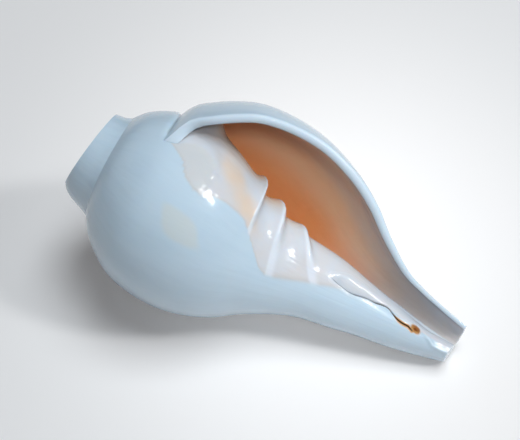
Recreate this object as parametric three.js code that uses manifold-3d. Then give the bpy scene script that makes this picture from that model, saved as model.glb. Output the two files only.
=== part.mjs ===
// Conch shell of the shank kind: one coiled shell with a wide mouth, three folds on the
// central pillar, a long open canal and an apex ground off flat with a blowing hole.
// Millimetres, +Z up, lying at rest on its back with the mouth turned up.
import * as THREE from 'three';
import { ParametricGeometry } from 'three/addons/geometries/ParametricGeometry.js';
import { mergeVertices, mergeGeometries } from 'three/addons/utils/BufferGeometryUtils.js';
import Module from 'manifold-3d';

// Coil. Growth is counted in turns: 1 at the lip, 0 one turn before it.
const APEX_Z = 16;            // where the coil would start, above the ground-off end
const TIP_Z = -151;           // end of the canal
const LAST_TURN_GROWTH = 3;   // how strongly the last turn speeds up
const EARLY_GROWTH = 1.6;     // growth per turn of the turns before
const SHOULDER_GROWTH = 1.39; // the same for their radius close to the seam
const SHOULDER_LIFT = 2.2;    // and for their height there, so that the turns before stand up in steps
const SUTURE_AT = 0.225;      // where the next turn is laid on a turn's outline
const CORNER_AT = 0.275;      // where the hollow starts under that seam

// Outline (radius, height) from the seam to the end of the canal, at the lip
const LIP_OUTLINE = [
  [31, -22.6], [39.4, -29.5], [45.4, -37.5], [50, -47], [52.2, -60.5], [51.5, -74], [47, -87],
  [39.8, -98.5], [30.3, -109.5], [21.4, -121.5], [17.0, -131], [13.5, -141], [10.6, -151],
];
// The same outline one turn earlier: the wall behind the mouth and the pillar
const PILLAR_OUTLINE = [
  [17.8, -7.2], [23.1, -11.2], [27.2, -16.8], [30.6, -24], [31.5, -32], [30.9, -40.5], [28.7, -49.5],
  [24.4, -58.5], [17.7, -68], [11.6, -84], [9.9, -104], [6.3, -126], [2.2, -151],
];

// Wall, lip and canal
const WALL = 3.4;             // thickness round the body
const CANAL_WALL = 1.6;       // and along the canal
const LIP_ROUNDING = 1.3;     // how far the rounded rim stands out
const LIP_LEAD = 0.052;       // turns by which the shoulder of the lip runs ahead
const LIP_SEAM_LEAD = 0.042;  // and a little more right at the seam
const LIP_CANAL_LAG = 0.02;   // it falls back by this much along the canal
const INNER_LIP_LEAD = 0.094; // the inner lip follows it
const BANK_LEAD = 0.19;       // the bank of the canal is carried round to the front by this much
const CANAL_CLOSED_AT = 0.625; // growth at which the open canal begins
const HOLLOW_FLOOR_DROP = 147; // floor of the hollow under the start of the coil, at the lip
const CANAL_BEND = 0.155;     // sideways drift of the canal per millimetre of length
const CANAL_BEND_Z = -78;     // height at which the drift sets in
const CANAL_BEND_SOFTNESS = 8; // over about this length
const SPIRE_LEAN = 1.1;       // the turns near the apex lean the other way
const LEAN_AZIMUTH = THREE.MathUtils.degToRad(25); // direction of the drift, round the coil
const END_SLANT = 0.25;       // the end of the canal is longer at the back, per millimetre
const END_FRONT = -4;         // where the slanting end keeps its height
const END_FILL = 2.4;         // the floor of the canal rises towards its end

// Folds on the pillar
const FOLDS = [
  { at: 0.614, height: 3.9, slope: 0 },
  { at: 0.690, height: 3.9, slope: 0.05 },
  { at: 0.746, height: 2.4, slope: 0.2 },
];
const FOLD_BACK = 0.024;      // width of a fold's slope on the apex side
const FOLD_FRONT = 0.010;     // and of the steep one on the canal side
const FOLD_INNER_SLOPE = 0.09; // the folds wind on into the hollow
const PILLAR_SWELL = 4.6;     // the pillar stands out below its folds
const BANK_SWELL = 3.4;       // rounded bank beside the canal
const BANK_TROUGH = 1.8;      // and the shallow trough between bank and canal
const WALL_SWELL = 8;         // the wall stands out where it turns into the mouth, under the lip's end
const WALL_SWELL_AT = 0.345;  // place of that swelling on the outline

// Ground-off apex, its blowing hole and the depth of the hollow
const CUT_NORMAL = new THREE.Vector3(0.0705, -0.0329, 1).normalize();
const HOLE_TOP = new THREE.Vector3(-3, 1, 4);
const HOLE_END = new THREE.Vector3(-15, -2, -25);
const HOLE_RADIUS = 4.6;
const HOLLOW_START = -0.6;    // growth at which the hollow begins
const SPIRE_START = -1.6;     // growth of the first turn that is drawn

// How it lies: this direction of the coil points up
const REST_UP = new THREE.Vector3(0.796, -0.473, 0.377).normalize();
const REST_WEAR = 0.5;        // worn flat by this much where it rests

// Mesh steps: per turn, and rows between the named places of the outline
const STEPS_PER_TURN = 24;
const ROW_STOPS = [0, SUTURE_AT, CORNER_AT, 0.5, 0.78, 1];
const ROW_COUNTS = [3, 2, 4, 10, 5];

const { smoothstep, clamp, lerp } = THREE.MathUtils;
const toCurve = (pairs) => new THREE.SplineCurve(pairs.map(([r, z]) => new THREE.Vector2(r, z)));
const lipCurve = toCurve(LIP_OUTLINE);
const pillarCurve = toCurve(PILLAR_OUTLINE);
const bump = (x) => Math.exp(-x * x);

// The lip runs ahead at the seam and falls back a little along the canal
function lipLead(v) {
  const shoulder = (1 - smoothstep(v, -0.12, 0.48)) / (1 - smoothstep(0, -0.12, 0.48));
  return LIP_SEAM_LEAD * bump(v / 0.03) + LIP_LEAD * shoulder - LIP_CANAL_LAG * smoothstep(v, 0.82, 0.95);
}

// The inner lip follows it
function innerLipLead(v) {
  const fallen = 1 - smoothstep(v, SUTURE_AT, SUTURE_AT + 0.3);
  return INNER_LIP_LEAD * smoothstep(v, 0, SUTURE_AT) * fallen;
}

// The bank of the canal is carried round to the front
function bankLead(v) {
  return BANK_LEAD * smoothstep(v, 0.8, 1);
}

function growthAt(u, v) {
  const atStart = bump(u / 0.16) * innerLipLead(v) + bump(u / 0.3) * bankLead(v);
  return u + atStart + bump((u - 1) / 0.16) * lipLead(v);
}

// Swelling of the pillar, its folds, and the bank beside the canal
function relief(w, v) {
  let height = PILLAR_SWELL * bump((v - 0.765) / 0.1) * (w < -0.06 ? 1 : bump((w + 0.06) / 0.15));
  const fade = 1 - smoothstep(w, 0.03, 0.15);
  for (const fold of FOLDS) {
    const d = v - fold.at - fold.slope * Math.max(w, 0) - FOLD_INNER_SLOPE * clamp(w, -0.3, 0);
    const share = d < 0 ? Math.exp(-((-d / FOLD_BACK) ** 1.2)) : bump(d / FOLD_FRONT);
    height += fold.height * fade * share;
  }
  const bank = smoothstep(w, 0, 0.2) * (1 - smoothstep(w, 0.5, 0.95));
  const narrowed = 1 - 0.7 * smoothstep(v, 0.88, 1) * smoothstep(w, 0.22, 0.4);
  height += BANK_SWELL * smoothstep(v, 0.84, 1) * bank * narrowed;
  height -= BANK_TROUGH * smoothstep(v, 0.915, 0.975) * bump((w - 0.03) / 0.12);
  const inMouth = smoothstep(w, -0.4, -0.12) * (1 - smoothstep(w, -0.11, 0.02));
  height += WALL_SWELL * bump((v - WALL_SWELL_AT) / 0.055) * inMouth;
  return height * smoothstep(v, SUTURE_AT, SUTURE_AT + 0.1);
}

// Outline of the coil at growth w, before the seams are closed
function plainOutline(w, v) {
  const a = pillarCurve.getPoint(v);
  const b = lipCurve.getPoint(v);
  const share = (LAST_TURN_GROWTH ** Math.max(w, 0) - 1) / (LAST_TURN_GROWTH - 1);
  const past = Math.min(w, 0);
  const high = smoothstep(v, 0, 0.2);
  const narrow = lerp(SHOULDER_GROWTH, EARLY_GROWTH, high) ** past;
  const lift = lerp(SHOULDER_LIFT, EARLY_GROWTH, high) ** past;
  return {
    r: lerp(a.x, b.x, share) * narrow,
    z: APEX_Z - (APEX_Z - lerp(a.y, b.y, share)) * lift,
    narrow,
  };
}

// The line along which a turn is laid on the turn before
function seam(w) {
  const own = plainOutline(w, 0);
  const before = plainOutline(w - 1, SUTURE_AT);
  const k = smoothstep(w, -0.3, 0.3);
  return { r: lerp(own.r, before.r, k), z: lerp(own.z, before.z, k) };
}

// Floor of the hollow: it leaves the open canal and climbs with the coil
function floorHeight(u) {
  const climb = 1 - smoothstep(u, 0.36, 0.6);
  const coiled = APEX_Z - HOLLOW_FLOOR_DROP * EARLY_GROWTH ** Math.min(u - 1, 0);
  return lerp(TIP_Z, coiled, climb);
}

// Outline with its seams closed, swellings and folds; the floor is that of the hollow's growth u
function outline(w, v, u) {
  const p = plainOutline(w, v);
  const own = plainOutline(w, 0);
  const top = seam(w);
  const nearTop = Math.max(1 - v / 0.12, 0) ** 2;
  p.r += (top.r - own.r) * nearTop;
  p.z += (top.z - own.z) * nearTop;
  if (w < 0 && v <= SUTURE_AT + 1e-9) {
    const edge = plainOutline(w, SUTURE_AT);
    const next = seam(w + 1);
    const nearEdge = smoothstep(v, 0.08, SUTURE_AT);
    p.r += (next.r - edge.r) * nearEdge;
    p.z += (next.z - edge.z) * nearEdge;
  }
  p.r += p.narrow * relief(w, v);
  if (w < 0) {
    const coiledTip = APEX_Z - (APEX_Z - TIP_Z) * EARLY_GROWTH ** w;
    p.z += (floorHeight(u + 1) - coiledTip) * smoothstep(v, 0.6, 1);
  }
  return p;
}

// How much further the slanting end of the canal reaches at the back
function endDrop(x, y) {
  const back = y * Math.cos(LEAN_AZIMUTH) - x * Math.sin(LEAN_AZIMUTH);
  return END_SLANT * (back - END_FRONT);
}

// From outline to space: a right-handed coil whose canal drifts sideways
function place(r, z, w, target) {
  const angle = -2 * Math.PI * w;
  const below = CANAL_BEND_Z - z;
  const drift = CANAL_BEND * (below + Math.hypot(below, CANAL_BEND_SOFTNESS)) / 2
    - SPIRE_LEAN * smoothstep(z, -18, 0);
  const x = r * Math.cos(angle) + drift * Math.cos(LEAN_AZIMUTH);
  const y = r * Math.sin(angle) + drift * Math.sin(LEAN_AZIMUTH);
  return target.set(x, y, z - endDrop(x, y) * (1 - smoothstep(z, TIP_Z, TIP_Z + 25)));
}

// Outer face of the coil; before growth 0 the same face lines the hollow as its pillar
function outerFace(u, v, target) {
  const w = growthAt(u, v);
  const p = outline(w, v, u);
  return place(p.r, p.z, w, target);
}

// The outline moved in by the wall
function insetOutline(u, s) {
  const w = growthAt(u, s);
  const p = plainOutline(w, s);
  const at = clamp(s, 0.002, 0.998);
  const before = plainOutline(w, at - 0.002);
  const after = plainOutline(w, at + 0.002);
  const dr = after.r - before.r;
  const dz = after.z - before.z;
  const fill = END_FILL * smoothstep(s, 0.88, 1) * bump((w - 0.72) / 0.16);
  const plainWall = lerp(WALL, CANAL_WALL, smoothstep(s, 0.5, 0.9));
  const wall = plainWall * EARLY_GROWTH ** (0.6 * Math.min(w, 0)) + fill;
  const length = Math.hypot(dr, dz);
  return {
    r: p.r + wall * dz / length,
    z: p.z - wall * dr / length * (1 - smoothstep(s, 0.8, 1)),
    w,
  };
}

// Inner face of the outer wall, drawn to the pillar at the seam and at the floor
function innerFace(u, s, target) {
  const p = insetOutline(u, s);
  p.z += (floorHeight(u) - plainOutline(p.w, 1).z) * smoothstep(s, 0.6, 1);
  const wFloor = growthAt(u - 1, 1);
  const floor = outline(wFloor, 1, u - 1);
  const nearFloor = (1 - smoothstep(u, CANAL_CLOSED_AT, CANAL_CLOSED_AT + 0.18)) * smoothstep(s, 0.8, 1);
  p.r += (floor.r - p.r) * nearFloor;
  const wCorner = growthAt(u - 1, CORNER_AT);
  const corner = outline(wCorner, CORNER_AT, u - 1);
  const start = insetOutline(u, 0);
  const nearCorner = Math.max(1 - s / 0.15, 0) ** 2;
  p.r += (corner.r - start.r) * nearCorner;
  p.z += (corner.z - start.z) * nearCorner;
  const w = p.w + (wFloor + 1 - p.w) * nearFloor + (wCorner + 1 - start.w) * nearCorner;
  return place(p.r, p.z, w, target);
}

// Rounded rim from the outer face to the inner face, ending on the inner lip
function rim(v, k, target) {
  const outer = outerFace(1, v, new THREE.Vector3());
  const inner = innerFace(1, v, new THREE.Vector3());
  const share = (1 - Math.cos(Math.PI * k)) / 2;
  const forward = outer.clone().sub(outerFace(0.999, v, new THREE.Vector3())).normalize();
  const slant = endDrop(forward.x, forward.y) - endDrop(0, 0);
  forward.z = lerp(forward.z, -slant, smoothstep(v, 0.8, 1));
  const swell = LIP_ROUNDING * Math.sin(Math.PI * k) * smoothstep(v, 0, 0.1);
  target.copy(outer).lerp(inner, share).addScaledVector(forward, swell);
  const onWall = outerFace(0, lerp(SUTURE_AT, CORNER_AT, share), new THREE.Vector3());
  const chord = outerFace(1, 0, new THREE.Vector3()).lerp(innerFace(1, 0, new THREE.Vector3()), share);
  return target.addScaledVector(onWall.sub(chord), Math.max(1 - v / 0.1, 0) ** 2);
}

// Rows are spread between the named places of the outline
const ROWS = ROW_COUNTS.reduce((sum, n) => sum + n, 0);
const CORNER_ROW = ROW_COUNTS[0] + ROW_COUNTS[1];
function rowAt(index) {
  let k = 0;
  let left = index;
  while (k < ROW_COUNTS.length - 1 && left > ROW_COUNTS[k] + 1e-9) {
    left -= ROW_COUNTS[k];
    k += 1;
  }
  const t = left / ROW_COUNTS[k];
  const share = k === 1 ? (1 - Math.cos(Math.PI * t)) / 2 : t;
  return lerp(ROW_STOPS[k], ROW_STOPS[k + 1], share);
}

// A sheet over growth and rows; its first column may be gathered in one point
function sheet(face, u0, u1, row0, row1, gather, flip) {
  const columns = Math.round((u1 - u0) * STEPS_PER_TURN) + (gather ? 1 : 0);
  const draw = (a, b, target) => {
    const column = Math.round(a * columns) - (gather ? 1 : 0);
    if (column < 0) {
      return target.copy(gather);
    }
    const u = u0 + column / STEPS_PER_TURN;
    return face(u, rowAt(Math.round(lerp(row0, row1, b))), target);
  };
  const geometry = new ParametricGeometry(draw, columns, row1 - row0);
  return flip ? turnedOver(geometry) : geometry;
}

// The same sheet facing the other way
function turnedOver(geometry) {
  const index = geometry.index;
  for (let i = 0; i < index.count; i += 3) {
    const kept = index.getX(i);
    index.setX(i, index.getX(i + 1));
    index.setX(i + 1, kept);
  }
  return geometry;
}

const START_U = Math.round(SPIRE_START * STEPS_PER_TURN) / STEPS_PER_TURN;
const HOLLOW_U = Math.round(HOLLOW_START * STEPS_PER_TURN) / STEPS_PER_TURN;
const CLOSED_U = Math.round(CANAL_CLOSED_AT * STEPS_PER_TURN) / STEPS_PER_TURN;
const apex = new THREE.Vector3(0, 0, APEX_Z);
const hollowEnd = innerFace(HOLLOW_U, 0.4, new THREE.Vector3())
  .lerp(outerFace(HOLLOW_U - 1, 0.4, new THREE.Vector3()), 0.5);

const body = sheet(outerFace, 0, 1, 0, ROWS, null, false);
const spire = sheet(outerFace, START_U, 0, 0, ROW_COUNTS[0], apex, false);
const lid = turnedOver(new ParametricGeometry(
  (a, b, target) => outerFace(START_U + a, 0, target).lerp(apex, b),
  STEPS_PER_TURN,
  1,
));
const lining = sheet(innerFace, HOLLOW_U, 1, 0, ROWS, hollowEnd, true);
const pillar = sheet(outerFace, HOLLOW_U - 1, 0, CORNER_ROW, ROWS, hollowEnd, false);
const rimSheet = turnedOver(new ParametricGeometry(
  (a, b, target) => rim(rowAt(Math.round(a * ROWS)), b, target),
  ROWS,
  ROW_COUNTS[1],
));

// Flat end of the canal, walked round its outline
const endPoints = [];
const addEnd = (point) => endPoints.push(new THREE.Vector2(point.x, -point.y));
const endPoint = new THREE.Vector3();
const TURN = STEPS_PER_TURN;
for (let i = 0; i <= TURN; i += 1) {
  addEnd(outerFace(i / TURN, 1, endPoint));
}
for (let k = 1; k < ROW_COUNTS[1]; k += 1) {
  addEnd(rim(1, k / ROW_COUNTS[1], endPoint));
}
for (let i = TURN; i > CLOSED_U * TURN; i -= 1) {
  addEnd(innerFace(i / TURN, 1, endPoint));
}
for (let i = Math.round(CLOSED_U * TURN); i < TURN; i += 1) {
  addEnd(outerFace(i / TURN - 1, 1, endPoint));
}
const end = new THREE.ShapeGeometry(new THREE.Shape(endPoints));
end.rotateX(Math.PI);
const endCorners = end.attributes.position;
for (let i = 0; i < endCorners.count; i += 1) {
  endCorners.setZ(i, TIP_Z - endDrop(endCorners.getX(i), endCorners.getY(i)));
}

// One closed body
function closedBody(parts) {
  const bare = parts.map((part) => {
    const copy = part.clone();
    copy.deleteAttribute('normal');
    copy.deleteAttribute('uv');
    return copy;
  });
  return mergeVertices(mergeGeometries(bare), 1e-3);
}

const wasm = await Module();
wasm.setup();

function toSolid(geometry) {
  const index = geometry.index.array;
  const kept = [];
  for (let i = 0; i < index.length; i += 3) {
    const [a, b, c] = [index[i], index[i + 1], index[i + 2]];
    if (a !== b && b !== c && c !== a) {
      kept.push(a, b, c);
    }
  }
  return new wasm.Manifold(new wasm.Mesh({
    numProp: 3,
    vertProperties: new Float32Array(geometry.attributes.position.array),
    triVerts: new Uint32Array(kept),
  }));
}

// Blowing hole, from the ground-off face into the hollow
const holeLength = HOLE_TOP.distanceTo(HOLE_END);
const hole = new THREE.CylinderGeometry(HOLE_RADIUS, HOLE_RADIUS * 0.8, holeLength, 20);
hole.applyQuaternion(new THREE.Quaternion().setFromUnitVectors(
  new THREE.Vector3(0, 1, 0),
  HOLE_TOP.clone().sub(HOLE_END).normalize(),
));
hole.translate(...HOLE_TOP.clone().add(HOLE_END).multiplyScalar(0.5).toArray());

const cutShell = toSolid(closedBody([body, spire, lid, lining, pillar, rimSheet, end]))
  .trimByPlane(CUT_NORMAL.clone().negate().toArray(), 0)
  .subtract(toSolid(closedBody([hole])));

// Lay it down, canal toward +X, and wear it flat where it rests
const toCanal = new THREE.Vector3(0, 0, -1);
const alongX = toCanal.addScaledVector(REST_UP, -toCanal.dot(REST_UP)).normalize();
const alongY = REST_UP.clone().cross(alongX);
const lying = new THREE.Matrix4().makeBasis(alongX, alongY, REST_UP).transpose();
const laidShell = cutShell.transform(lying.elements);
const restLevel = laidShell.boundingBox().min[2] + REST_WEAR;
const wornShell = laidShell.trimByPlane([0, 0, 1], restLevel);

// The box of the shell is centred over the origin
const shellMesh = wornShell.getMesh();
const shellGeometry = new THREE.BufferGeometry();
shellGeometry.setAttribute('position', new THREE.BufferAttribute(shellMesh.vertProperties, 3));
shellGeometry.setIndex(new THREE.BufferAttribute(shellMesh.triVerts, 1));
shellGeometry.computeBoundingBox();
const box = shellGeometry.boundingBox;
shellGeometry.translate(-(box.min.x + box.max.x) / 2, -(box.min.y + box.max.y) / 2, -box.min.z);
shellGeometry.computeVertexNormals();

const shell = new THREE.Mesh(
  shellGeometry,
  new THREE.MeshStandardMaterial({ color: 0xdfe6ea, roughness: 0.22, metalness: 0 }),
);
shell.name = 'shell';

const group = new THREE.Group();
group.name = 'conch_shell';
group.add(shell);

export default group;
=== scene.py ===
"""A conch shell of the shank kind, polished white, lying on its back with the mouth turned up.

Metres, +Z up. The shell is worked out in millimetres round its own coil axis, and is then laid
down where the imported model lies.
"""

import bpy
import numpy as np
from mathutils import Matrix, Vector


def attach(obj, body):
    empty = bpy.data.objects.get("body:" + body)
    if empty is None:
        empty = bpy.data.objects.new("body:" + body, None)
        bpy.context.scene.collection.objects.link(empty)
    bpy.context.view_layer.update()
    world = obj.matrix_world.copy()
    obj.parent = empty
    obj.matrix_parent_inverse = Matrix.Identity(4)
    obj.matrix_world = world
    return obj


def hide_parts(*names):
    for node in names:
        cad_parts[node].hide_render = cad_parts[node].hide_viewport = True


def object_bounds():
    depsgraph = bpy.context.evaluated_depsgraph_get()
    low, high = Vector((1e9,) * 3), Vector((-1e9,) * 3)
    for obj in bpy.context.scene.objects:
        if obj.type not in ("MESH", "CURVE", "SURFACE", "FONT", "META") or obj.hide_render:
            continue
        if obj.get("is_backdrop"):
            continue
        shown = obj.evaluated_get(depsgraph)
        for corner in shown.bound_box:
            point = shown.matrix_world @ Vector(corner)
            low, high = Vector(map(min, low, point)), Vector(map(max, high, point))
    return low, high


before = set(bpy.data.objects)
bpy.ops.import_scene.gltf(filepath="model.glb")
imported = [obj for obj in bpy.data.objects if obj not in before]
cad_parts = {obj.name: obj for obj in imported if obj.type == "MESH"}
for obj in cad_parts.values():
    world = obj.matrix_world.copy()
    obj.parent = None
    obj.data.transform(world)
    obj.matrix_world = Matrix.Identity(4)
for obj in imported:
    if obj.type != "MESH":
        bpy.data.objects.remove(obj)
cad_low, cad_high = (np.array(corner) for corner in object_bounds())


# ---- The shell -------------------------------------------------------------------------------
# One coiled sheet of hard, glossy aragonite, laid down turn over turn by the animal and later
# polished by hand: a rounded outer lip, three folds on the pillar, a long open canal with a
# fissure beside it, and an apex that is ground off flat and drilled as a blowing hole.

# Coil, in millimetres round its own axis: +Z points to the apex and 0 is the ground-off end.
# Growth is counted in turns, 1 at the lip and 0 one turn before it. Place on the outline runs
# from 0 at the upper seam to 1 at the end of the canal.
APEX_Z = 16.0
TIP_Z = -151.0
LAST_TURN_GROWTH = 3.0
EARLY_GROWTH = 1.6
SHOULDER_GROWTH = 1.39
SHOULDER_LIFT = 2.2
SUTURE_AT = 0.225
CORNER_AT = 0.275

# Outline (radius, height) from the seam to the end of the canal, at the lip
LIP_OUTLINE = [
    (31, -22.6), (39.4, -29.5), (45.4, -37.5), (50, -47), (52.2, -60.5), (51.5, -74), (47, -87),
    (39.8, -98.5), (30.3, -109.5), (21.4, -121.5), (17, -131), (13.5, -141), (10.6, -151),
]
# The same outline one turn earlier: the wall behind the mouth and the pillar
PILLAR_OUTLINE = [
    (17.8, -7.2), (23.1, -11.2), (27.2, -16.8), (30.6, -24), (31.5, -32), (30.9, -40.5),
    (28.7, -49.5), (24.4, -58.5), (17.7, -68), (11.6, -84), (9.9, -104), (6.3, -126), (2.2, -151),
]

# Wall, lip and canal: thicknesses, leads in turns, the canal's sideways drift and its slanting end
WALL = 3.4
CANAL_WALL = 1.6
LIP_ROUNDING = 1.3
LIP_LEAD = 0.052
LIP_SEAM_LEAD = 0.042
LIP_CANAL_LAG = 0.02
INNER_LIP_LEAD = 0.094
BANK_LEAD = 0.19
LEAD_REACH = 0.16
LIP_LEAD_FADE = (-0.12, 0.48)
CANAL_CLOSED_AT = 0.625
HOLLOW_FLOOR_DROP = 147
CANAL_BEND = 0.155
CANAL_BEND_Z = -78.0
CANAL_BEND_SOFTNESS = 8.0
SPIRE_LEAN = 1.1
LEAN_AZIMUTH = np.radians(25)
END_SLANT = 0.25
END_FRONT = -4.0
END_FILL = 2.4

# Folds on the pillar: place, height, and how fast they slide towards the canal as they come out
FOLDS = [(0.614, 3.9, 0.0), (0.690, 3.9, 0.05), (0.746, 2.4, 0.20)]
FOLD_BACK = 0.024
FOLD_FRONT = 0.010
FOLD_BACK_POWER = 1.2
FOLD_FADE = (0.03, 0.15)
FOLD_INNER_SLOPE = 0.09

# Swellings and hollows of the surface: heights in millimetres, and places on the outline
# (RISE and FALL are the stretches of growth over which a swelling comes and goes)
PILLAR_SWELL = 4.6
PILLAR_SWELL_AT = 0.765
PILLAR_SWELL_WIDTH = 0.1
PILLAR_SWELL_OUT = -0.06
PILLAR_SWELL_FADE = 0.15
BANK_SWELL = 3.4
BANK_RISE = (0, 0.2)
BANK_FALL = (0.5, 0.95)
BANK_TROUGH = 1.8
TROUGH_AT = 0.03
TROUGH_WIDTH = 0.12
WALL_SWELL = 8
WALL_SWELL_AT = 0.345
WALL_SWELL_WIDTH = 0.055
WALL_SWELL_RISE = (-0.4, -0.12)
WALL_SWELL_FALL = (-0.11, 0.02)
LIP_END_SWELL = 1.5
LIP_END_AT = 0.042
LIP_END_WIDTH = 0.032
CALLUS_HEIGHT = 0.6
CALLUS_BACK = 4.5
CALLUS_FRONT = 1.6
GROOVE_DEPTH = 0.9
GROOVE_WIDTHS = (0.012, 0.014)

# Ground-off end, blowing hole, first turns, and how the shell lies
CUT_NORMAL = np.array([0.0705, -0.0329, 1.0]) / np.linalg.norm([0.0705, -0.0329, 1.0])
HOLE_TOP = np.array([-3.0, 1.0, 4.0])
HOLE_END = np.array([-15.0, -2.0, -25.0])
HOLE_RADIUS = 4.6
HOLE_TAPER = 0.8
HOLE_SIDES = 48
GRINDING_REACH = 60
HOLLOW_START = -0.6
SPIRE_START = -1.6
REST_UP = np.array([0.796, -0.473, 0.377]) / np.linalg.norm([0.796, -0.473, 0.377])
REST_WEAR = 0.5

# The fissure (place on the outline, growth), the ridge beside it and the pit at its end
FISSURE = [
    (0.811, 0.112), (0.825, 0.120), (0.838, 0.129), (0.848, 0.129), (0.860, 0.118), (0.870, 0.111),
    (0.882, 0.112), (0.891, 0.103), (0.899, 0.098), (0.905, 0.105), (0.913, 0.134), (0.919, 0.152),
    (0.927, 0.163), (0.935, 0.165), (0.941, 0.184), (0.946, 0.170),
]
RIDGE = [
    (0.811, 0.085), (0.834, 0.050), (0.856, 0.047), (0.896, 0.069), (0.934, 0.117), (0.949, 0.134),
    (0.962, 0.184), (0.971, 0.222), (0.984, 0.234), (1.0, 0.234),
]
FISSURE_WIDTH = 0.22
FISSURE_DEPTH = 1.5
FISSURE_ENDS = (0.8, 0.96)
STEP_DEPTH = 1.9
STEP_SHORTEST = 0.8
STEP_POWER = 1.3
STEP_BACK = 0.55
RIDGE_HEIGHT = 0.6
RIDGE_WIDTH = 0.9
PIT = (0.9445, 0.160)
PIT_SIZE = (1.5, 0.9)
PIT_COSINE = 0.8
PIT_SINE = 0.6
PIT_DEPTH = 2.4
FISSURE_COSINE = 0.8
CRACK_WIDTH = 0.34
RUST_WIDTH = 0.75
RUST_ROUND_PIT = (1.9, 1.2)
OUTLINE_LENGTH = 250.0
CANAL_RADIUS = 8.0

# Edge of the glaze round the mouth (place on the outline, growth)
GLAZE_EDGE = [
    (0.225, 0.085), (0.259, 0.091), (0.323, 0.109), (0.354, 0.131), (0.393, 0.141), (0.428, 0.143),
    (0.469, 0.131), (0.503, 0.124), (0.565, 0.122), (0.590, 0.128), (0.618, 0.141), (0.642, 0.158),
    (0.664, 0.182), (0.679, 0.206), (0.696, 0.220), (0.716, 0.216), (0.739, 0.204), (0.765, 0.185),
    (0.790, 0.168), (0.813, 0.145), (0.845, 0.125), (0.900, 0.095), (0.950, 0.140), (1.0, 0.220),
]
# Crest of the thick callus that runs from the end of the lip down beside the mouth
CALLUS = [
    (0.240, 0.100), (0.300, 0.078), (0.340, 0.067), (0.370, 0.064), (0.402, 0.068), (0.426, 0.078),
    (0.436, 0.100), (0.446, 0.125), (0.470, 0.150),
]

# Worn beige patch on the body and warm band beside the first fold (place on the outline, growth)
PATCH = (0.415, 0.207)
PATCH_HALF = (0.072, 0.025)
PATCH_SLANT = 1.2
WARM_BAND = (0.480, 0.058)
WARM_BAND_SLOPE = 0.40
WARM_BAND_WIDTH = 0.040
# Strength of the painted shade in the seam groove near the lip
SEAM_PAINTED_SHADE = 0.62

# Mesh steps: (end, count) along one turn and along the outline
TURN_STEPS = [(0.12, 46), (0.4, 28), (0.625, 22), (0.97, 34), (1.0, 12)]
TOP_STEPS = 16
SEAM_STEPS = 6
OUTLINE_STEPS = [(0.57, 24), (0.77, 66), (0.82, 8), (0.95, 44), (1.0, 12)]
SHARP_ANGLE = np.radians(38)


def smooth(x, low, high):
    """0 below low, 1 above high, and between them 3t^2 - 2t^3 of the share t."""
    t = np.clip((x - low) / (high - low), 0, 1)
    return t * t * (3 - 2 * t)


def bump(x):
    """e to the minus x squared: 1 at 0 and almost 0 beyond 2."""
    return np.exp(-x * x)


def along_curve(points, t):
    """A Catmull-Rom curve through evenly counted points: on each stretch the cubic that keeps
    both ends and takes half the chord of the two neighbours as its slope there."""
    points = np.array(points, float)
    last = len(points) - 1
    at = np.clip(t, 0, 1) * last
    i = np.minimum(at.astype(int), last - 1)
    f = (at - i)[..., None]
    p0 = points[np.maximum(i - 1, 0)]
    p1 = points[i]
    p2 = points[i + 1]
    p3 = points[np.minimum(i + 2, last)]
    slope1 = (p2 - p0) / 2
    slope2 = (p3 - p1) / 2
    cubic = 2 * (p1 - p2) + slope1 + slope2
    square = 3 * (p2 - p1) - 2 * slope1 - slope2
    return (cubic * f + square) * f * f + slope1 * f + p1


def line_at(points, v):
    """Growth on a line of points (place on the outline, growth), straight between the points."""
    places, growths = np.array(points, float).T
    i = np.clip(np.searchsorted(places, v) - 1, 0, len(places) - 2)
    share = np.clip((v - places[i]) / (places[i + 1] - places[i]), 0, 1)
    return growths[i] + (growths[i + 1] - growths[i]) * share


def lip_lead(v):
    """How far the lip runs ahead: a bump at the seam, a smooth step down the shoulder, and a smooth
    step back along the canal."""
    shoulder = (1 - smooth(v, *LIP_LEAD_FADE)) / (1 - smooth(0, *LIP_LEAD_FADE))
    return LIP_SEAM_LEAD * bump(v / 0.03) + LIP_LEAD * shoulder - LIP_CANAL_LAG * smooth(v, 0.82, 0.95)


def growth_at(u, v):
    """Growth w of column u: u, with the lip's lead near u = 1 and, near u = 0, the leads of the
    inner lip under the seam and of the canal's bank."""
    inner_lip = INNER_LIP_LEAD * smooth(v, 0, SUTURE_AT) * (1 - smooth(v, SUTURE_AT, SUTURE_AT + 0.3))
    bank = BANK_LEAD * smooth(v, 0.8, 1)
    at_start = bump(u / LEAD_REACH) * inner_lip + bump(u / 0.3) * bank
    return u + at_start + bump((u - 1) / LEAD_REACH) * lip_lead(v)


def past_fold(w, v, fold):
    """Distance along the outline from a fold's crest, which slides with growth; also its height."""
    at, height, slope = fold
    return v - at - slope * np.maximum(w, 0) - FOLD_INNER_SLOPE * np.clip(w, -0.3, 0), height


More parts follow.
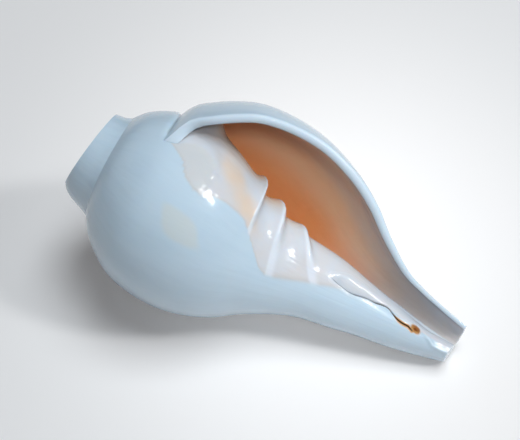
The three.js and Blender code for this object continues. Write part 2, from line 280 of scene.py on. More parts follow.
def relief(w, v):
    """Height added to the outline: the pillar's swelling, its three folds (steeper on the canal
    side, sliding down as they come out and fading on the outside), the canal's bank with the
    trough beside it, and the wall standing out where it turns into the mouth."""
    out = (w - PILLAR_SWELL_OUT) / PILLAR_SWELL_FADE
    inwards = np.where(w < PILLAR_SWELL_OUT, 1, bump(out))
    height = PILLAR_SWELL * bump((v - PILLAR_SWELL_AT) / PILLAR_SWELL_WIDTH) * inwards
    fade = 1 - smooth(w, *FOLD_FADE)
    for fold in FOLDS:
        past, fold_height = past_fold(w, v, fold)
        back = np.exp(-(np.maximum(-past, 0) / FOLD_BACK) ** FOLD_BACK_POWER)
        height = height + fold_height * fade * np.where(past < 0, back, bump(past / FOLD_FRONT))
    bank = smooth(w, *BANK_RISE) * (1 - smooth(w, *BANK_FALL))
    narrowed = 1 - 0.7 * smooth(v, 0.88, 1) * smooth(w, 0.22, 0.4)
    height = height + BANK_SWELL * smooth(v, 0.84, 1) * bank * narrowed
    height = height - BANK_TROUGH * smooth(v, 0.915, 0.975) * bump((w - TROUGH_AT) / TROUGH_WIDTH)
    in_mouth = smooth(w, *WALL_SWELL_RISE) * (1 - smooth(w, *WALL_SWELL_FALL))
    height = height + WALL_SWELL * bump((v - WALL_SWELL_AT) / WALL_SWELL_WIDTH) * in_mouth
    return height * smooth(v, SUTURE_AT, SUTURE_AT + 0.1)


def plain_outline(w, v):
    """Radius and height at growth w: the pillar's outline turning into the lip's, by the share
    (3^w - 1) / 2, and before growth 0 shrunk towards the apex by the early growth per turn."""
    pillar = along_curve(PILLAR_OUTLINE, v)
    lip = along_curve(LIP_OUTLINE, v)
    share = (LAST_TURN_GROWTH ** np.maximum(w, 0) - 1) / (LAST_TURN_GROWTH - 1)
    both = pillar + (lip - pillar) * share[..., None]
    past = np.minimum(w, 0)
    high = smooth(v, 0, 0.2)
    narrow = (SHOULDER_GROWTH + (EARLY_GROWTH - SHOULDER_GROWTH) * high) ** past
    lift = (SHOULDER_LIFT + (EARLY_GROWTH - SHOULDER_LIFT) * high) ** past
    return both[..., 0] * narrow, APEX_Z - (APEX_Z - both[..., 1]) * lift, narrow


def seam(w):
    """Radius and height of the seam on top of a turn: its own top edge, which comes to lie on
    the turn before as growth passes 0."""
    top = np.zeros_like(w)
    r, z, _ = plain_outline(w, top)
    r_before, z_before, _ = plain_outline(w - 1, top + SUTURE_AT)
    k = smooth(w, -0.3, 0.3)
    return r + (r_before - r) * k, z + (z_before - z) * k


def floor_height(u):
    """Floor of the hollow: the canal's end at the mouth, climbing with the coil further in."""
    climb = 1 - smooth(u, 0.36, 0.6)
    coiled = APEX_Z - HOLLOW_FLOOR_DROP * EARLY_GROWTH ** np.minimum(u - 1, 0)
    return TIP_Z + (coiled - TIP_Z) * climb


def outline(w, v, u):
    """The plain outline with its two edges drawn onto the seams, its relief, and the pillar's
    foot lifted to the floor of the hollow."""
    r, z, narrow = plain_outline(w, v)
    top = np.zeros_like(v)
    r_own, z_own, _ = plain_outline(w, top)
    r_seam, z_seam = seam(w)
    near_top = np.maximum(1 - v / 0.12, 0) ** 2
    r = r + (r_seam - r_own) * near_top
    z = z + (z_seam - z_own) * near_top
    r_edge, z_edge, _ = plain_outline(w, top + SUTURE_AT)
    r_next, z_next = seam(w + 1)
    near_edge = smooth(v, 0.08, SUTURE_AT) * ((w < 0) & (v <= SUTURE_AT + 1e-9))
    r = r + (r_next - r_edge) * near_edge + narrow * relief(w, v)
    z = z + (z_next - z_edge) * near_edge
    coiled_tip = APEX_Z - (APEX_Z - TIP_Z) * EARLY_GROWTH ** np.minimum(w, 0)
    return r, z + (floor_height(u + 1) - coiled_tip) * smooth(v, 0.6, 1) * (w < 0)


def end_drop(x, y):
    """How much further the slanting end of the canal reaches at the back: a plane."""
    return END_SLANT * (y * np.cos(LEAN_AZIMUTH) - x * np.sin(LEAN_AZIMUTH) - END_FRONT)


def place(r, z, w):
    """From outline to space: a right-handed coil, 2 pi of angle per turn, whose axis drifts
    sideways along a hyperbola below the bend and leans back a little at the top."""
    angle = -2 * np.pi * w
    below = CANAL_BEND_Z - z
    drift = CANAL_BEND * (below + np.hypot(below, CANAL_BEND_SOFTNESS)) / 2
    drift = drift - SPIRE_LEAN * smooth(z, -18, 0)
    x = r * np.cos(angle) + drift * np.cos(LEAN_AZIMUTH)
    y = r * np.sin(angle) + drift * np.sin(LEAN_AZIMUTH)
    return np.stack([x, y, z - end_drop(x, y) * (1 - smooth(z, TIP_Z, TIP_Z + 25))], -1)


def from_pit(w, v, turn, size):
    """Squared distance from the pit's middle, counted in the oval's two half sizes: the sum of
    the squares along the oval and across it, after a turn by the pit's angle."""
    tall = (v - PIT[0]) * OUTLINE_LENGTH
    wide = (w - PIT[1]) * turn
    along = (wide * PIT_COSINE + tall * PIT_SINE) / size[0]
    return along ** 2 + ((tall * PIT_COSINE - wide * PIT_SINE) / size[1]) ** 2


def broken_edge(w, v, r):
    """Depth of the fissure: a narrow cut along its line, a step that falls from the ridge to the
    cut and stands up again steeply behind it, and an oval pit at its end. Distances are across
    the line, in millimetres, positive on the outer side."""
    turn = 2 * np.pi * r
    places = np.linspace(*FISSURE_ENDS, 161)
    slope = np.gradient(line_at(FISSURE, places), 0.001)
    lean = np.interp(v, places, slope) * turn / OUTLINE_LENGTH
    across = (w - line_at(FISSURE, v)) * turn / np.hypot(1, lean)
    reach = np.maximum((line_at(FISSURE, v) - line_at(RIDGE, v)) * turn, STEP_SHORTEST)
    run = smooth(v, 0.806, 0.826) * (1 - smooth(v, 0.936, 0.945))
    cut = FISSURE_DEPTH * bump(across / FISSURE_WIDTH) * run
    falling = np.clip(1 + across / reach, 0, 1) ** STEP_POWER
    step = np.where(across < 0, falling, 1 - smooth(across, 0, STEP_BACK))
    step = STEP_DEPTH * (1 - 0.75 * smooth(v, 0.84, 0.915)) * run * step
    pit = PIT_DEPTH * np.exp(-from_pit(w, v, turn, PIT_SIZE) ** 2)
    crest = (w - line_at(RIDGE, v)) * turn
    raised = RIDGE_HEIGHT * bump(crest / RIDGE_WIDTH) * smooth(v, 0.8, 0.83) * smooth(v, 0.94, 0.97)
    return raised - cut - step - pit


def seam_groove(w, v):
    """Share of the groove where the last turn lies on the one before, near the lip: e to the minus
    square of the distance from the seam, on both turns, fading out a quarter turn back."""
    older = bump((v - SUTURE_AT) / GROOVE_WIDTHS[0]) * smooth(w, -0.30, -0.10)
    newer = bump(v / GROOVE_WIDTHS[1]) * smooth(w, 0.70, 0.90) * (v < 0.1)
    return older * (1 - smooth(w, 0.06, 0.10)) + newer * (1 - smooth(w, 1.06, 1.10))


def lip_end_and_callus(w, v, r):
    """Small swellings by the end of the lip: the lip's own thick end just below the seam, and the
    rounded crest of the callus, high on its line and easing off more slowly behind it."""
    thick = LIP_END_SWELL * bump((v - LIP_END_AT) / LIP_END_WIDTH)
    thick = thick * smooth(v, 0, 0.02) * smooth(w, 0.80, 1.02)
    away = (w - line_at(CALLUS, v)) * 2 * np.pi * r
    shown = smooth(v, CORNER_AT, 0.32) * (1 - smooth(v, 0.425, 0.46)) * (w > -0.1) * (w < 0.3)
    crest = np.where(away < 0, bump(away / CALLUS_BACK), bump(away / CALLUS_FRONT))
    return thick + CALLUS_HEIGHT * shown * crest


def outer_face(u, v):
    """Outer face of the coil; before growth 0 the same face lines the hollow as its pillar."""
    w = growth_at(u, v)
    r, z = outline(w, v, u)
    near = (w > -0.12) & (w < 0.35) & (v > 0.79)
    broken = np.where(near, broken_edge(w, v, np.maximum(r, 4)), 0)
    r = r + broken + lip_end_and_callus(w, v, r)
    r = r - GROOVE_DEPTH * seam_groove(w, v)
    return place(r, z, w)


def inset_outline(u, s):
    """The plain outline moved inwards by the wall, square to the outline's own slope."""
    w = growth_at(u, s)
    r, z, _ = plain_outline(w, s)
    at = np.clip(s, 0.002, 0.998)
    r_before, z_before, _ = plain_outline(w, at - 0.002)
    r_after, z_after, _ = plain_outline(w, at + 0.002)
    dr = r_after - r_before
    dz = z_after - z_before
    length = np.hypot(dr, dz)
    wall = (WALL + (CANAL_WALL - WALL) * smooth(s, 0.5, 0.9)) * EARLY_GROWTH ** (0.6 * np.minimum(w, 0))
    wall = wall + END_FILL * smooth(s, 0.88, 1) * bump((w - 0.72) / 0.16)
    return r + wall * dz / length, z - wall * dr / length * (1 - smooth(s, 0.8, 1)), w


def inner_face(u, s):
    """Inner face of the outer wall, drawn to the pillar at the seam and at the floor."""
    r, z, w = inset_outline(u, s)
    end = np.ones_like(s)
    z = z + (floor_height(u) - plain_outline(w, end)[1]) * smooth(s, 0.6, 1)
    w_floor = growth_at(u - 1, end)
    r_floor, _ = outline(w_floor, end, u - 1)
    near_floor = (1 - smooth(u, CANAL_CLOSED_AT, CANAL_CLOSED_AT + 0.18)) * smooth(s, 0.8, 1)
    r = r + (r_floor - r) * near_floor
    w_corner = growth_at(u - 1, end * CORNER_AT)
    r_corner, z_corner = outline(w_corner, end * CORNER_AT, u - 1)
    r_start, z_start, w_start = inset_outline(u, end * 0)
    near_corner = np.maximum(1 - s / 0.15, 0) ** 2
    r = r + (r_corner - r_start) * near_corner
    z = z + (z_corner - z_start) * near_corner
    drawn = w + (w_floor + 1 - w) * near_floor + (w_corner + 1 - w_start) * near_corner
    return place(r, z, drawn)


def rim(k, v):
    """Rounded rim: half a cosine wave from the outer face to the inner face, swollen forwards by
    half a sine wave, its top end laid on the wall before it."""
    one = np.ones_like(v)
    outer = outer_face(one, v)
    inner = inner_face(one, v)
    share = ((1 - np.cos(np.pi * k)) / 2)[..., None]
    forward = outer - outer_face(one * 0.999, v)
    forward = forward / np.linalg.norm(forward, axis=-1, keepdims=True)
    slant = end_drop(forward[..., 0], forward[..., 1]) - end_drop(0, 0)
    forward[..., 2] = forward[..., 2] + (-slant - forward[..., 2]) * smooth(v, 0.8, 1)
    thin = (WALL + (CANAL_WALL - WALL) * smooth(v, 0.5, 0.9)) / WALL
    swell = LIP_ROUNDING * np.sin(np.pi * k) * smooth(v, 0, 0.1) * thin
    on_wall = outer_face(one * 0, SUTURE_AT + (CORNER_AT - SUTURE_AT) * share[..., 0])
    start = outer_face(one, one * 0) * (1 - share) + inner_face(one, one * 0) * share
    shift = (on_wall - start) * (np.maximum(1 - v / 0.1, 0) ** 2)[..., None]
    return outer * (1 - share) + inner * share + forward * swell[..., None] + shift


def steps(start, stretches):
    """Places from start on: each stretch (end, count) is cut evenly."""
    places = [np.array([start])]
    for end, count in stretches:
        places.append(np.linspace(places[-1][-1], end, count + 1)[1:])
    return np.concatenate(places)


turn = steps(0.0, TURN_STEPS)
early = np.concatenate([turn[:-1] - 2, turn[:-1] - 1, [0.0]])
spire_columns = early[early >= SPIRE_START - 1e-9]
lining_columns = np.concatenate([early[early >= HOLLOW_START - 1e-9][:-1], turn])
even = np.linspace(0, 1, TOP_STEPS + 1)
top_rows = SUTURE_AT * (even - 0.75 * np.sin(2 * np.pi * even) / (2 * np.pi))
rounding = (1 - np.cos(np.pi * np.arange(1, SEAM_STEPS + 1) / SEAM_STEPS)) / 2
seam_rows = SUTURE_AT + (CORNER_AT - SUTURE_AT) * rounding
low_rows = steps(CORNER_AT, OUTLINE_STEPS)
rows = np.concatenate([top_rows, seam_rows, low_rows[1:]])

LAY_MARKS = ["growth", "place", "inside", "glaze", "edge"]
STAIN_MARKS = ["crack_and_seam_shade", "rust", "crest", "patch", "bare", "facet", "warm"]
MARKS = LAY_MARKS + STAIN_MARKS
parts = []


def fissure_stains(w, v):
    """Crack, rust and facet: the crack's dark falls off within half a millimetre of the fissure's
    line, the rust gathers along its lower end and round the pit, and the facet is the step's
    face between ridge and fissure. The fissure is taken to lean evenly all along."""
    turn_length = 2 * np.pi * CANAL_RADIUS
    beside = (w > -0.1) * (w < 0.4)
    off = (w - line_at(FISSURE, v)) * turn_length * FISSURE_COSINE
    on_line = beside * smooth(v, 0.815, 0.845)
    deep = (0.35 + 0.65 * smooth(v, 0.86, 0.89)) * (1 - smooth(v, 0.940, 0.947))
    crack_and_seam_shade = bump(off / CRACK_WIDTH) * on_line * deep
    round_pit = np.exp(-from_pit(w, v, turn_length, RUST_ROUND_PIT))
    low = smooth(v, 0.902, 0.925) * (1 - smooth(v, 0.943, 0.95))
    rust = np.maximum(bump(off / RUST_WIDTH) * low * 0.8 * on_line, 1.1 * round_pit * beside)
    ridge = (w - line_at(RIDGE, v)) * turn_length
    facet = smooth(ridge, -1.2, 0.2) * (1 - smooth(off, 0.3, 1.5)) * beside
    facet = facet * smooth(v, 0.795, 0.815) * (1 - smooth(v, 0.86, 0.92))
    return crack_and_seam_shade, np.minimum(rust, 1.0), facet


def stains(w, v, face):
    """The marks of the outer face: those of the fissure with the seam groove's painted shade added to
    the crack, the painted highlight along the folds' crests, the worn patch (a rounded slanting
    square), the unglazed side of the callus, and the warm band."""
    if face is not outer_face:
        return np.zeros((len(STAIN_MARKS), *w.shape))
    crack_and_seam_shade, rust, facet = fissure_stains(w, v)
    # Painted shade: the seam groove near the lip is darkened in colour, added to the crack's mark
    crack_and_seam_shade = np.maximum(crack_and_seam_shade, SEAM_PAINTED_SHADE * seam_groove(w, v))
    crest = np.zeros_like(w)
    for fold in FOLDS:
        past, _ = past_fold(w, v, fold)
        crest = np.maximum(crest, np.where(past < 0, bump(past / 0.006), bump(past / 0.012)))
    down = w - PATCH[1]
    along = v - PATCH[0] - PATCH_SLANT * down
    patch = bump((along / PATCH_HALF[0]) ** 2) * bump((down / PATCH_HALF[1]) ** 2)
    callus = line_at(CALLUS, v)
    bare = smooth(w, callus - 0.004, callus + 0.004) * (1 - smooth(v, 0.43, 0.46))
    from_band = w - WARM_BAND[1] - WARM_BAND_SLOPE * (v - WARM_BAND[0])
    warm = bump(from_band / WARM_BAND_WIDTH) * smooth(v, 0.40, 0.46) * (1 - smooth(v, 0.60, 0.68))
    return crack_and_seam_shade, rust, crest, patch, bare, facet, warm


def lay(face, columns, places, inside, glaze, edge=0.0, gather=None, turned=False):
    """Adds a sheet over columns and rows. Its marks go with every point: growth, place, how far
    inside it is, how much glaze it has, whether it is rim, and its stains. gather closes its
    first side to a point."""
    u, v = np.meshgrid(columns, places, indexing="ij")
    points = face(u, v)
    growth = u if face is rim else growth_at(u, v)
    marks = [growth, v, inside(u, v), glaze(u, v), np.full(u.shape, edge), *stains(growth, v, face)]
    marks = np.stack(marks, -1)
    if gather is not None:
        points = np.concatenate([np.broadcast_to(gather, (1, *points.shape[1:])), points])
        marks = np.concatenate([marks[:1], marks])
    n, m = points.shape[:2]
    i, j = np.meshgrid(np.arange(n - 1), np.arange(m - 1), indexing="ij")
    a = (i * m + j).ravel()
    quads = np.stack([a, a + m, a + m + 1, a + 1], -1)
    corners = quads[:, ::-1] if turned else quads
    parts.append((points.reshape(-1, 3), marks.reshape(-1, len(MARKS)), corners))
    return points


def glaze_outside(u, v):
    """1 inside the glaze's edge, 0 outside it, blended over a few millimetres."""
    w = growth_at(u, v)
    edge = line_at(GLAZE_EDGE, v)
    spread = 0.006 + 0.022 * smooth(v, 0.66, 0.76)
    return (1 - smooth(w, edge - spread, edge + spread)) * smooth(v, 0.235, 0.262)


def none(u, v):
    """0 everywhere."""
    return np.zeros_like(u)


def full(u, v):
    """1 everywhere."""
    return np.ones_like(u)


def inside_wall(u, v):
    """How deep inside the wall is: 0 at the lip, 1 three tenths of a turn behind it."""
    return (1 - smooth(u, 0.70, 1.0)) * (1 - 0.85 * smooth(v, 0.74, 0.93) * smooth(u, 0.50, 0.72))


def inside_pillar(u, v):
    """The pillar stays pale near the mouth and darkens further in."""
    return 1 - smooth(growth_at(u, v), -0.5, -0.08)


middle_row = np.array([0.4])
deepest = inner_face(np.array([HOLLOW_START]), middle_row)
hollow_end = (deepest + outer_face(np.array([HOLLOW_START - 1]), middle_row))[0] / 2
apex = np.array([0.0, 0.0, APEX_Z])
body = lay(outer_face, turn, rows, none, glaze_outside)
spire = lay(outer_face, spire_columns, top_rows, none, none, gather=apex)
lining = lay(inner_face, lining_columns, rows, inside_wall, full, gather=hollow_end, turned=True)
pillar = lay(outer_face, lining_columns - 1, low_rows, inside_pillar, full, gather=hollow_end)
lip = lay(rim, np.arange(SEAM_STEPS + 1) / SEAM_STEPS, rows, none, full, edge=1.0)

# The lid over the first turn, later ground away
first = spire[1:len(turn) + 1, 0]
lid = np.concatenate([first, apex[None]])
around = np.arange(len(first))
fan = np.stack([around[:-1], np.full(len(first) - 1, len(first)), around[1:]], -1)
fan = np.concatenate([fan, fan[:, :1]], -1)
parts.append((lid, np.zeros((len(lid), len(MARKS))), fan))

# The end of the canal: one flat face walked round its outline
closed = int(np.argmin(abs(lining_columns - CANAL_CLOSED_AT))) + 1
rest = slice(closed, None)
end_walk = np.concatenate([body[:, -1], lip[1:-1, -1], lining[rest, -1][::-1], pillar[rest, -1][1:-1]])

# Weld everything that meets
points = np.concatenate([p for p, _, _ in parts] + [end_walk])
end_marks = np.zeros((len(end_walk), len(MARKS)))
end_marks[:, :len(LAY_MARKS)] = (1.0, 1.0, 0.0, 0.6, 1.0)
marks = np.concatenate([m for _, m, _ in parts] + [end_marks])
starts = np.cumsum([0] + [len(p) for p, _, _ in parts])
quads = np.concatenate([q + start for (_, _, q), start in zip(parts, starts)])
corners = np.concatenate([quads[:, [0, 1, 2]], quads[:, [0, 2, 3]]])
_, kept, welded = np.unique(np.round(points, 3), axis=0, return_index=True, return_inverse=True)
welded = welded.ravel()
loops = welded[corners]
real = (loops[:, 0] != loops[:, 1]) & (loops[:, 1] != loops[:, 2]) & (loops[:, 0] != loops[:, 2])
corners = corners[real]
end_face = np.arange(starts[-1], len(points))
source = np.concatenate([corners.ravel(), end_face])
points = points[kept]

# Lay it down: canal towards +X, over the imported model's own place
towards_canal = -np.array([0.0, 0.0, 1.0])
along_x = towards_canal - REST_UP * (towards_canal @ REST_UP)
along_x /= np.linalg.norm(along_x)
lying = np.array([along_x, np.cross(REST_UP, along_x), REST_UP])
loops = welded[source]
sizes = np.concatenate([np.full(len(corners), 3), [len(end_face)]])

# Worn flat underneath, so that it lies still
laid = points @ lying.T
laid[:, 2] = np.maximum(laid[:, 2], laid[:, 2].min() + REST_WEAR)

mesh = bpy.data.meshes.new("shell_body")
mesh.vertices.add(len(points))
mesh.vertices.foreach_set("co", (laid / 1000).ravel())
mesh.loops.add(len(loops))
mesh.loops.foreach_set("vertex_index", loops)
mesh.polygons.add(len(sizes))
mesh.polygons.foreach_set("loop_start", np.concatenate([[0], np.cumsum(sizes)[:-1]]))
for column, name in enumerate(MARKS):
    mark = mesh.attributes.new(name, "FLOAT", "CORNER")
    mark.data.foreach_set("value", marks[source, column])
mesh.attributes.new("ground", "FLOAT", "CORNER")
mesh.update(calc_edges=True)
mesh.validate()
shell = bpy.data.objects.new("shell_body", mesh)
bpy.context.scene.collection.objects.link(shell)


def cutter(name, corners_mm, faces):
    """A closed tool whose faces leave the mark 'ground' on what they cut."""
    tool_mesh = bpy.data.meshes.new(name)
    tool_mesh.from_pydata((np.array(corners_mm) @ lying.T / 1000).tolist(), [], faces)
    for mark_name in MARKS:
        tool_mesh.attributes.new(mark_name, "FLOAT", "CORNER")
    mark = tool_mesh.attributes.new("ground", "FLOAT", "CORNER")
    mark.data.foreach_set("value", np.ones(len(tool_mesh.loops)))
    tool_mesh.update()
    tool = bpy.data.objects.new(name, tool_mesh)
    bpy.context.scene.collection.objects.link(tool)
    return tool


def cut_away(tool):
    """Takes the tool out of the shell and throws the tool away."""
    taken = shell.modifiers.new(tool.name, "BOOLEAN")
    taken.operation = "DIFFERENCE"
    taken.solver = "MANIFOLD"
    taken.object = tool
    depsgraph = bpy.context.evaluated_depsgraph_get()
    result = bpy.data.meshes.new_from_object(
        shell.evaluated_get(depsgraph), preserve_all_data_layers=True, depsgraph=depsgraph
    )
    shell.modifiers.clear()
    old = shell.data
    shell.data = result
    bpy.data.meshes.remove(old)
    bpy.data.meshes.remove(tool.data)


# The ground-off end: everything above a plane through the coil's origin
across = np.cross(CUT_NORMAL, [0.0, 1.0, 0.0])
across /= np.linalg.norm(across)
beside = np.cross(CUT_NORMAL, across)
square = np.array([-across - beside, across - beside, across + beside, -across + beside])
square *= GRINDING_REACH
block = np.concatenate([square, square + CUT_NORMAL * GRINDING_REACH])
block_sides = [(0, 1, 5, 4), (1, 2, 6, 5), (2, 3, 7, 6), (3, 0, 4, 7)]
cut_away(cutter("grinding", block, [(3, 2, 1, 0), (4, 5, 6, 7), *block_sides]))

# The blowing hole: a slightly tapered round hole from that face into the hollow
axis = (HOLE_TOP - HOLE_END) / np.linalg.norm(HOLE_TOP - HOLE_END)
side = np.cross(axis, [0.0, 1.0, 0.0])
side /= np.linalg.norm(side)
angle = np.linspace(0, 2 * np.pi, HOLE_SIDES + 1)[:-1, None]
ring = np.cos(angle) * side + np.sin(angle) * np.cross(axis, side)
drill = np.concatenate([HOLE_TOP + ring * HOLE_RADIUS, HOLE_END + ring * HOLE_RADIUS * HOLE_TAPER])
n = len(ring)
drill_faces = [(i, (i + n - 1) % n, n + (i + n - 1) % n, n + i) for i in range(n)]
cut_away(cutter("drill", drill, drill_faces + [tuple(range(n)), tuple(range(2 * n - 1, n - 1, -1))]))

mesh = shell.data
mesh.name = "shell_body"
co = np.empty(len(mesh.vertices) * 3, np.float32)
mesh.vertices.foreach_get("co", co)
co = co.reshape(-1, 3)
shift = (cad_low + cad_high) / 2 - (co.min(0) + co.max(0)) / 2
shift[2] = cad_low[2] - co[:, 2].min()
mesh.vertices.foreach_set("co", (co + shift).astype(np.float32).ravel())
mesh.polygons.foreach_set("use_smooth", np.ones(len(mesh.polygons), bool))
mesh.set_sharp_from_angle(angle=SHARP_ANGLE)
mesh.update()


# Cells of mottling per metre, and of growth lines per turn and along the outline
CLOUD_SCALE = 14.0
BLOTCH_SCALE = 40.0
WEAR_SCALE = 60.0
POLISH_SCALE = 90.0
MOTTLE_SCALE = 110.0
WRINKLE_SCALE = 170.0
LINES_PER_TURN = 60.0
LINES_ALONG = 7.0

# Colours (linear red, green, blue); the inside runs from the lip to deep within
COOL_WHITE = (0.41, 0.55, 0.66)
MILK_WHITE = (0.46, 0.57, 0.66)
GROWTH_LINE_GREY = (0.38, 0.50, 0.61)
WORN_BEIGE = (0.48, 0.555, 0.585)
CREAM = (0.52, 0.53, 0.55)
MILKY_GLAZE = (0.49, 0.55, 0.62)
PEACH = (0.59, 0.50, 0.42)
BARE_GLAZE = (0.49, 0.525, 0.55)
GLAZE_EDGE_GREY = (0.47, 0.48, 0.49)
CREST_PAINTED_HIGHLIGHT = (0.58, 0.64, 0.71)
CANAL_GREY = (0.49, 0.50, 0.52)
RIM_WHITE = (0.50, 0.62, 0.72)
FACET_PAINTED_SHADE = (0.46, 0.52, 0.58)
RUST_ORANGE = (0.50, 0.27, 0.10)
RUST_BROWN = (0.20, 0.07, 0.02)
CRACK_AND_SEAM_SHADE_DARK = (0.13, 0.12, 0.10)
GROUND_CHALK = (0.74, 0.75, 0.74)
INSIDE_COLOURS = [
    (0.0, (0.50, 0.53, 0.58)), (0.16, (0.78, 0.68, 0.58)), (0.45, (0.92, 0.62, 0.40)),
    (0.8, (0.86, 0.37, 0.15)), (1.0, (0.86, 0.31, 0.10)),
]


def polished_shell():
    """Cool white porcelain-like outside with a worn beige patch, a cream glaze round the mouth,
    orange-brown deep inside, chalky on the ground-off face and rust in the fissure."""
    material = bpy.data.materials.new("polished_shell")
    material.use_nodes = True
    nodes = material.node_tree.nodes
    links = material.node_tree.links
    shader = nodes["Principled BSDF"]
    shader.inputs["Coat Weight"].default_value = 0.35
    shader.inputs["Coat Roughness"].default_value = 0.06
    shader.inputs["IOR"].default_value = 1.5
    shader.inputs["Subsurface Weight"].default_value = 0.25
    shader.inputs["Subsurface Radius"].default_value = (1.0, 0.55, 0.35)
    shader.inputs["Subsurface Scale"].default_value = 0.004
    where = nodes.new("ShaderNodeTexCoord").outputs["Object"]
    off = (0, 0, 0)
    on = (1, 1, 1)

    def mark(name):
        node = nodes.new("ShaderNodeAttribute")
        node.attribute_name = name
        return node.outputs["Fac"]

    def reckon(operation, a, b=0.0):
        node = nodes.new("ShaderNodeMath")
        node.operation = operation
        for socket, value in zip(node.inputs, (a, b)):
            if isinstance(value, (int, float)):
                socket.default_value = value
            else:
                links.new(value, socket)
        return node.outputs[0]

    def ramp(value, stops):
        node = nodes.new("ShaderNodeValToRGB")
        node.color_ramp.interpolation = "EASE"
        while len(node.color_ramp.elements) < len(stops):
            node.color_ramp.elements.new(0.5)
        for element, (position, colour) in zip(node.color_ramp.elements, stops):
            element.position = position
            element.color = (*colour, 1.0)
        links.new(value, node.inputs[0])
        return node.outputs[0]

    def mix(low, high, factor):
        node = nodes.new("ShaderNodeMix")
        node.data_type = "RGBA"
        links.new(factor, node.inputs["Factor"])
        for socket, value in ((node.inputs["A"], low), (node.inputs["B"], high)):
            if isinstance(value, tuple):
                socket.default_value = (*value, 1.0)
            else:
                links.new(value, socket)
        return node.outputs["Result"]

    def noise(scale, detail=2.0, vector=where):
        node = nodes.new("ShaderNodeTexNoise")
        node.inputs["Scale"].default_value = scale
        node.inputs["Detail"].default_value = detail
        links.new(vector, node.inputs["Vector"])
        return node.outputs["Fac"]

    growth_map = nodes.new("ShaderNodeCombineXYZ")
    links.new(reckon("MULTIPLY", mark("growth"), LINES_PER_TURN), growth_map.inputs[0])
    links.new(reckon("MULTIPLY", mark("place"), LINES_ALONG), growth_map.inputs[1])
    lines = noise(1.0, 3.0, growth_map.outputs[0])
    clouds = noise(CLOUD_SCALE, 1.5)

    # Outside: cool white with fine growth lines, and the worn beige patch beside the mouth
    outside = mix(COOL_WHITE, MILK_WHITE, clouds)
    outside = mix(outside, GROWTH_LINE_GREY, ramp(lines, [(0.45, off), (0.75, (0.3, 0.3, 0.3))]))
    worn = mark("patch")
    wear = reckon("MULTIPLY", reckon("SUBTRACT", noise(WEAR_SCALE, 3.0), 0.5), 0.7)
    worn = reckon("ADD", worn, wear)
    outside = mix(outside, WORN_BEIGE, ramp(worn, [(0.20, off), (0.75, (0.9, 0.9, 0.9))]))
    # Glaze: cream, peach where it turns inwards and along the warm band, and a painted highlight along
    # the folds' crests
    blotches = ramp(noise(BLOTCH_SCALE), [(0.35, off), (0.65, on)])
    cream = mix(CREAM, MILKY_GLAZE, blotches)
    turned_in = reckon("MULTIPLY", reckon("SUBTRACT", 0.03, mark("growth")), 14.0)
    turned_in = reckon("ADD", reckon("MAXIMUM", turned_in, 0.0), reckon("MULTIPLY", mark("warm"), 0.75))
    mottle = reckon("MULTIPLY", reckon("SUBTRACT", noise(MOTTLE_SCALE, 2.0), 0.5), 0.9)
    turned_in = reckon("ADD", turned_in, mottle)
    peach = mix(cream, PEACH, ramp(turned_in, [(0.0, off), (1.0, on)]))
    middle = ramp(mark("place"), [(0.30, off), (0.44, on), (0.64, on), (0.78, off)])
    glazed = mix(cream, peach, middle)
    glazed = mix(glazed, BARE_GLAZE, mark("bare"))
    by_edge = ramp(mark("glaze"), [(0.5, (0.8, 0.8, 0.8)), (1.0, off)])
    glazed = mix(glazed, GLAZE_EDGE_GREY, by_edge)
    # Painted highlight: a pale blue-white band along each fold's crest
    crest_highlight_share = ramp(mark("crest"), [(0.1, off), (0.9, (0.9, 0.9, 0.9))])
    glazed = mix(glazed, CREST_PAINTED_HIGHLIGHT, crest_highlight_share)
    skin = mix(outside, glazed, ramp(mark("glaze"), [(0.05, off), (0.75, on)]))

    # Inside: orange-brown deep in, beige towards the lip, grey along the canal
    deep = ramp(mark("inside"), INSIDE_COLOURS)
    along_canal = ramp(mark("place"), [(0.58, off), (0.90, (0.85, 0.85, 0.85))])
    deep = mix(deep, CANAL_GREY, along_canal)
    skin = mix(skin, deep, ramp(mark("inside"), [(0.0, off), (0.12, on)]))

    # The rim, then the marks: the facet's painted shade, rust, the crack together with the seam
    # groove's painted shade, and the ground-off face
    skin = mix(skin, RIM_WHITE, mark("edge"))
    # Painted shade: the step's facet beside the fissure is greyed, as on a face turned from the light
    skin = mix(skin, FACET_PAINTED_SHADE, reckon("MULTIPLY", mark("facet"), 0.6))
    skin = mix(skin, RUST_ORANGE, ramp(mark("rust"), [(0.15, off), (0.6, on)]))
    skin = mix(skin, RUST_BROWN, ramp(mark("rust"), [(0.72, off), (1.0, on)]))
    # Painted shade in the seam groove, mixed in with the crack's own dark
    skin = mix(skin, CRACK_AND_SEAM_SHADE_DARK, ramp(mark("crack_and_seam_shade"), [(0.35, off), (0.95, (0.9, 0.9, 0.9))]))
    skin = mix(skin, GROUND_CHALK, mark("ground"))
    links.new(skin, shader.inputs["Base Color"])

    rough = reckon("ADD", reckon("MULTIPLY", noise(POLISH_SCALE, 3.0), 0.14), 0.13)
    rough = reckon("ADD", rough, reckon("MULTIPLY", mark("ground"), 0.35))
    rough = reckon("ADD", rough, reckon("MULTIPLY", mark("rust"), 0.4))
    rough = reckon("ADD", rough, reckon("MULTIPLY", mark("facet"), 0.25))
    links.new(rough, shader.inputs["Roughness"])

    fine = nodes.new("ShaderNodeBump")
    fine.inputs["Strength"].default_value = 0.25
    fine.inputs["Distance"].default_value = 0.0005
    wrinkles = reckon("MULTIPLY", noise(WRINKLE_SCALE, 2.0), reckon("MULTIPLY", mark("glaze"), 2.2))
    links.new(reckon("ADD", lines, wrinkles), fine.inputs["Height"])
    links.new(fine.outputs[0], shader.inputs["Normal"])
    return material


mesh.materials.clear()
mesh.materials.append(polished_shell())
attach(shell, "root")
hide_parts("shell")


# ---- The floor -------------------------------------------------------------------------------
# A plain pale sheet that the shell lies on, wide enough to fill every view.

FLOOR_HALF = 3.0

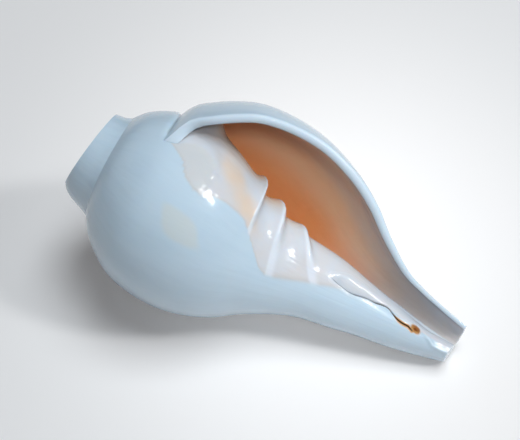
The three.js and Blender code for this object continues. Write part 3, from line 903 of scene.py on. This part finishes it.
floor_mesh = bpy.data.meshes.new("floor")
floor_corners = [(x * FLOOR_HALF, y * FLOOR_HALF, 0) for x, y in ((-1, -1), (1, -1), (1, 1), (-1, 1))]
floor_mesh.from_pydata(floor_corners, [], [(0, 1, 2, 3)])
floor = bpy.data.objects.new("floor", floor_mesh)
bpy.context.scene.collection.objects.link(floor)
paper = bpy.data.materials.new("pale_paper")
paper.use_nodes = True
paper.node_tree.nodes["Principled BSDF"].inputs["Base Color"].default_value = (0.82, 0.82, 0.82, 1)
paper.node_tree.nodes["Principled BSDF"].inputs["Roughness"].default_value = 0.9
floor_mesh.materials.append(paper)
floor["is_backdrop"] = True


# ---- Camera and light ------------------------------------------------------------------------
# A long lens above the canal side, a faintly warm sky, a broad cool panel behind the camera, a
# small bright panel for the highlights of the polish, and a narrow lamp aimed into the mouth.

LOOK_AZIMUTH = np.radians(-65)
CAMERA_ROLL = np.radians(33.6)
CAMERA_AWAY = 450.0
APEX_LEFT = 61.8
APEX_ABOVE = 27.0
SENSOR = 36.0
FOCAL = 84.1
MOUTH_RIGHT = 95
MOUTH_BELOW = 28
LAMP_AWAY = 0.9

to_camera = np.array([np.cos(LOOK_AZIMUTH), np.sin(LOOK_AZIMUTH), 0.0])
level = np.cross([0.0, 0.0, 1.0], to_camera)
right = -np.cos(CAMERA_ROLL) * np.array([0.0, 0.0, 1.0]) + np.sin(CAMERA_ROLL) * level
above = np.sin(CAMERA_ROLL) * np.array([0.0, 0.0, 1.0]) + np.cos(CAMERA_ROLL) * level
eye = to_camera * CAMERA_AWAY + right * APEX_LEFT - above * APEX_ABOVE
turn_camera = np.stack([lying @ right, lying @ above, lying @ to_camera], -1)

camera_data = bpy.data.cameras.new("camera")
camera_data.sensor_width = SENSOR
camera_data.lens = FOCAL
camera_data.clip_end = 20
camera = bpy.data.objects.new("camera", camera_data)
bpy.context.scene.collection.objects.link(camera)
standing = Matrix.Translation(Vector(lying @ eye / 1000 + shift))
camera.matrix_world = standing @ Matrix(turn_camera.tolist()).to_4x4()
bpy.context.scene.camera = camera

middle = Vector((0, 0, 0.04))


def panel(name, direction, away, width, height, watts, colour):
    """An area light on the middle of the shell; direction counts right, above, towards camera."""
    light_data = bpy.data.lights.new(name, "AREA")
    light_data.shape = "RECTANGLE"
    light_data.size = width
    light_data.size_y = height
    light_data.energy = watts
    light_data.color = colour
    light = bpy.data.objects.new(name, light_data)
    bpy.context.scene.collection.objects.link(light)
    pointing = Vector(turn_camera @ np.array(direction)).normalized()
    light.location = middle + pointing * away
    light.rotation_euler = pointing.to_track_quat("Z", "Y").to_euler()
    return light


panel("window", (0.635, 0.30, 0.71), 1.3, 0.16, 0.24, 4.5, (1.0, 1.0, 1.0))
panel("broad", (0.20, 0.62, 0.76), 1.7, 1.0, 0.8, 21.0, (0.91, 0.96, 1.0)).visible_glossy = False

lamp_data = bpy.data.lights.new("mouth_lamp", "SPOT")
lamp_data.energy = 25.0
lamp_data.color = (1.0, 0.95, 0.92)
lamp_data.spot_size = np.radians(13)
lamp_data.spot_blend = 1.0
lamp_data.shadow_soft_size = 0.08
mouth_lamp = bpy.data.objects.new("mouth_lamp", lamp_data)
bpy.context.scene.collection.objects.link(mouth_lamp)
mouth_lamp.visible_glossy = False
mouth = Vector(lying @ (right * MOUTH_RIGHT - above * MOUTH_BELOW) / 1000 + shift)
pointing = Vector(turn_camera @ np.array([0.05, 0.02, 1.0])).normalized()
mouth_lamp.location = mouth + pointing * LAMP_AWAY
mouth_lamp.rotation_euler = pointing.to_track_quat("Z", "Y").to_euler()

world = bpy.data.worlds.new("sky")
bpy.context.scene.world = world
world.use_nodes = True
world.node_tree.nodes["Background"].inputs["Color"].default_value = (1.0, 0.93, 0.92, 1)
world.node_tree.nodes["Background"].inputs["Strength"].default_value = 0.11
bpy.context.scene.view_settings.view_transform = "Standard"

bpy.context.view_layer.update()
